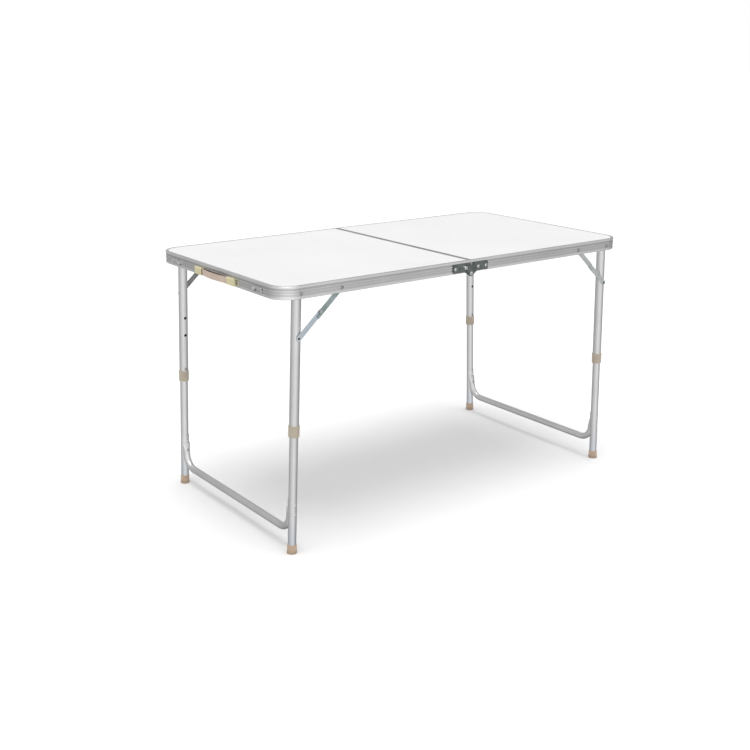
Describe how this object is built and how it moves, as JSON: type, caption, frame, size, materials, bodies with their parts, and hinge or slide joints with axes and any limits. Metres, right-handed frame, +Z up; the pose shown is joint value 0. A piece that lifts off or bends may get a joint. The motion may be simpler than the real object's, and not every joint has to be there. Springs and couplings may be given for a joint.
{
  "type": "folding picnic table",
  "caption": "Suitcase-style folding table with hinged framed boards on telescopic folding legs with braces, crossbars, latches and a carrying handle.",
  "frame": {"origin": "centre of the table at floor level, on the seam between the halves", "axes": "+Z up, X along the length with the carrying handle at -X, Y across the width"},
  "size_m": [1.2161, 0.653, 0.7],
  "materials": {
    "board_laminate": "satin white laminate",
    "rail_aluminium": "satin anodised",
    "trim_aluminium": "satin anodised",
    "upper_leg_aluminium": "satin drawn tube",
    "lower_leg_aluminium": "satin drawn tube",
    "crossbar_aluminium": "satin drawn tube",
    "hinge_zinc": "dark passivated zinc",
    "brace_zinc": "pale blue zinc plate",
    "rivet_steel": "bright zinc",
    "latch_steel": "bright zinc",
    "button_steel": "polished",
    "collar_plastic": "moulded beige",
    "foot_plastic": "moulded tan",
    "plug_plastic": "moulded grey",
    "handle_strap_plastic": "moulded soft tan",
    "handle_cap_plastic": "moulded cream"
  },
  "bodies": {
    "left_half": {"left_board": "board_laminate", "left_edge_frame": "rail_aluminium", "left_seam_trim": "trim_aluminium", "left_leg_pivot_rivets": "rivet_steel", "left_brace_rail_rivets": "rivet_steel", "left_hinge_rivets": "rivet_steel", "left_near_hinge_plate": "hinge_zinc", "left_far_hinge_plate": "hinge_zinc", "stop_studs": "rivet_steel", "hinge_pins": "rivet_steel", "hinge_washers": "rivet_steel", "handle_caps": "handle_cap_plastic", "end_rail_rivets": "rivet_steel"},
    "right_half": {"right_board": "board_laminate", "right_edge_frame": "rail_aluminium", "right_seam_trim": "trim_aluminium", "right_leg_pivot_rivets": "rivet_steel", "right_brace_rail_rivets": "rivet_steel", "right_hinge_rivets": "rivet_steel", "right_near_hinge_plate": "hinge_zinc", "right_far_hinge_plate": "hinge_zinc", "catch_studs": "latch_steel"},
    "left_leg_frame": {"left_near_upper_tube": "upper_leg_aluminium", "left_far_upper_tube": "upper_leg_aluminium", "left_top_plugs": "plug_plastic", "left_collars": "collar_plastic"},
    "left_leg_extension": {"left_near_lower_tube": "lower_leg_aluminium", "left_far_lower_tube": "lower_leg_aluminium", "left_foot_caps": "foot_plastic", "left_crossbar": "crossbar_aluminium", "left_crossbar_rivets": "rivet_steel"},
    "right_leg_frame": {"right_near_upper_tube": "upper_leg_aluminium", "right_far_upper_tube": "upper_leg_aluminium", "right_top_plugs": "plug_plastic", "right_collars": "collar_plastic"},
    "right_leg_extension": {"right_near_lower_tube": "lower_leg_aluminium", "right_far_lower_tube": "lower_leg_aluminium", "right_foot_caps": "foot_plastic", "right_crossbar": "crossbar_aluminium", "right_crossbar_rivets": "rivet_steel"},
    "left_near_upper_link": {"left_near_upper_link": "brace_zinc"},
    "left_near_lower_link": {"left_near_lower_link": "brace_zinc", "left_near_brace_rivets": "rivet_steel"},
    "left_near_button": {"left_near_button": "button_steel"},
    "left_far_upper_link": {"left_far_upper_link": "brace_zinc"},
    "left_far_lower_link": {"left_far_lower_link": "brace_zinc", "left_far_brace_rivets": "rivet_steel"},
    "left_far_button": {"left_far_button": "button_steel"},
    "right_near_upper_link": {"right_near_upper_link": "brace_zinc"},
    "right_near_lower_link": {"right_near_lower_link": "brace_zinc", "right_near_brace_rivets": "rivet_steel"},
    "right_near_button": {"right_near_button": "button_steel"},
    "right_far_upper_link": {"right_far_upper_link": "brace_zinc"},
    "right_far_lower_link": {"right_far_lower_link": "brace_zinc", "right_far_brace_rivets": "rivet_steel"},
    "right_far_button": {"right_far_button": "button_steel"},
    "near_latch_hook": {"near_latch_hook": "latch_steel"},
    "far_latch_hook": {"far_latch_hook": "latch_steel"},
    "handle_strap": {"handle_strap": "handle_strap_plastic"}
  },
  "joints": [
    {"name": "centre_fold", "type": "hinge", "parent": "left_half", "child": "right_half", "pos_m": [0, 0, 0.6645], "axis": [0, 1, 0], "range_deg": [0, 75]},
    {"name": "left_leg_fold", "type": "hinge", "parent": "left_half", "child": "left_leg_frame", "pos_m": [-0.539, 0, 0.68], "axis": [0, -1, 0], "range_deg": [0, 92.2]},
    {"name": "left_leg_slide", "type": "slide", "parent": "left_leg_frame", "child": "left_leg_extension", "axis": [0.0384, 0, 0.9993], "range_m": [0, 0.15]},
    {"name": "left_near_brace_rail_pivot", "type": "hinge", "parent": "left_half", "child": "left_near_upper_link", "pos_m": [-0.419, -0.30775, 0.68], "axis": [0, -1, 0], "range_deg": [0, 138.1]},
    {"name": "left_near_brace_knee", "type": "hinge", "parent": "left_near_upper_link", "child": "left_near_lower_link", "pos_m": [-0.47818, -0.3063, 0.62672], "axis": [0, -1, 0], "range_deg": [-180.1, 0]},
    {"name": "left_near_button_press", "type": "slide", "parent": "left_leg_extension", "child": "left_near_button", "axis": [0, -1, 0], "range_m": [0, 0.003], "stiffness_N_per_m": 800, "springref_m": -0.002},
    {"name": "left_far_brace_rail_pivot", "type": "hinge", "parent": "left_half", "child": "left_far_upper_link", "pos_m": [-0.419, 0.30775, 0.68], "axis": [0, -1, 0], "range_deg": [0, 138.1]},
    {"name": "left_far_brace_knee", "type": "hinge", "parent": "left_far_upper_link", "child": "left_far_lower_link", "pos_m": [-0.47818, 0.3063, 0.62672], "axis": [0, -1, 0], "range_deg": [-180.1, 0]},
    {"name": "left_far_button_press", "type": "slide", "parent": "left_leg_extension", "child": "left_far_button", "axis": [0, 1, 0], "range_m": [0, 0.003], "stiffness_N_per_m": 800, "springref_m": -0.002},
    {"name": "right_leg_fold", "type": "hinge", "parent": "right_half", "child": "right_leg_frame", "pos_m": [0.539, 0, 0.68], "axis": [0, 1, 0], "range_deg": [0, 92.2]},
    {"name": "right_leg_slide", "type": "slide", "parent": "right_leg_frame", "child": "right_leg_extension", "axis": [-0.0384, 0, 0.9993], "range_m": [0, 0.15]},
    {"name": "right_near_brace_rail_pivot", "type": "hinge", "parent": "right_half", "child": "right_near_upper_link", "pos_m": [0.419, -0.30775, 0.68], "axis": [0, 1, 0], "range_deg": [0, 138.1]},
    {"name": "right_near_brace_knee", "type": "hinge", "parent": "right_near_upper_link", "child": "right_near_lower_link", "pos_m": [0.47818, -0.3063, 0.62672], "axis": [0, 1, 0], "range_deg": [-180.1, 0]},
    {"name": "right_near_button_press", "type": "slide", "parent": "right_leg_extension", "child": "right_near_button", "axis": [0, -1, 0], "range_m": [0, 0.003], "stiffness_N_per_m": 800, "springref_m": -0.002},
    {"name": "right_far_brace_rail_pivot", "type": "hinge", "parent": "right_half", "child": "right_far_upper_link", "pos_m": [0.419, 0.30775, 0.68], "axis": [0, 1, 0], "range_deg": [0, 138.1]},
    {"name": "right_far_brace_knee", "type": "hinge", "parent": "right_far_upper_link", "child": "right_far_lower_link", "pos_m": [0.47818, 0.3063, 0.62672], "axis": [0, 1, 0], "range_deg": [-180.1, 0]},
    {"name": "right_far_button_press", "type": "slide", "parent": "right_leg_extension", "child": "right_far_button", "axis": [0, 1, 0], "range_m": [0, 0.003], "stiffness_N_per_m": 800, "springref_m": -0.002},
    {"name": "near_latch_swivel", "type": "hinge", "parent": "left_half", "child": "near_latch_hook", "pos_m": [-0.6, -0.194, 0.6797], "axis": [1, 0, 0], "range_deg": [0, 90]},
    {"name": "far_latch_swivel", "type": "hinge", "parent": "left_half", "child": "far_latch_hook", "pos_m": [-0.6, 0.194, 0.6797], "axis": [-1, 0, 0], "range_deg": [0, 90]},
    {"name": "handle_pull", "type": "slide", "parent": "left_half", "child": "handle_strap", "axis": [-1, 0, 0], "range_m": [0, 0.0015]}
  ],
  "couplings": [
    {"joint": "left_near_brace_rail_pivot", "follows": "left_leg_fold", "ratio": 1.4968},
    {"joint": "left_near_brace_knee", "follows": "left_leg_fold", "ratio": -1.9523},
    {"joint": "left_far_brace_rail_pivot", "follows": "left_leg_fold", "ratio": 1.4968},
    {"joint": "left_far_brace_knee", "follows": "left_leg_fold", "ratio": -1.9523},
    {"joint": "right_near_brace_rail_pivot", "follows": "right_leg_fold", "ratio": 1.4968},
    {"joint": "right_near_brace_knee", "follows": "right_leg_fold", "ratio": -1.9523},
    {"joint": "right_far_brace_rail_pivot", "follows": "right_leg_fold", "ratio": 1.4968},
    {"joint": "right_far_brace_knee", "follows": "right_leg_fold", "ratio": -1.9523}
  ]
}
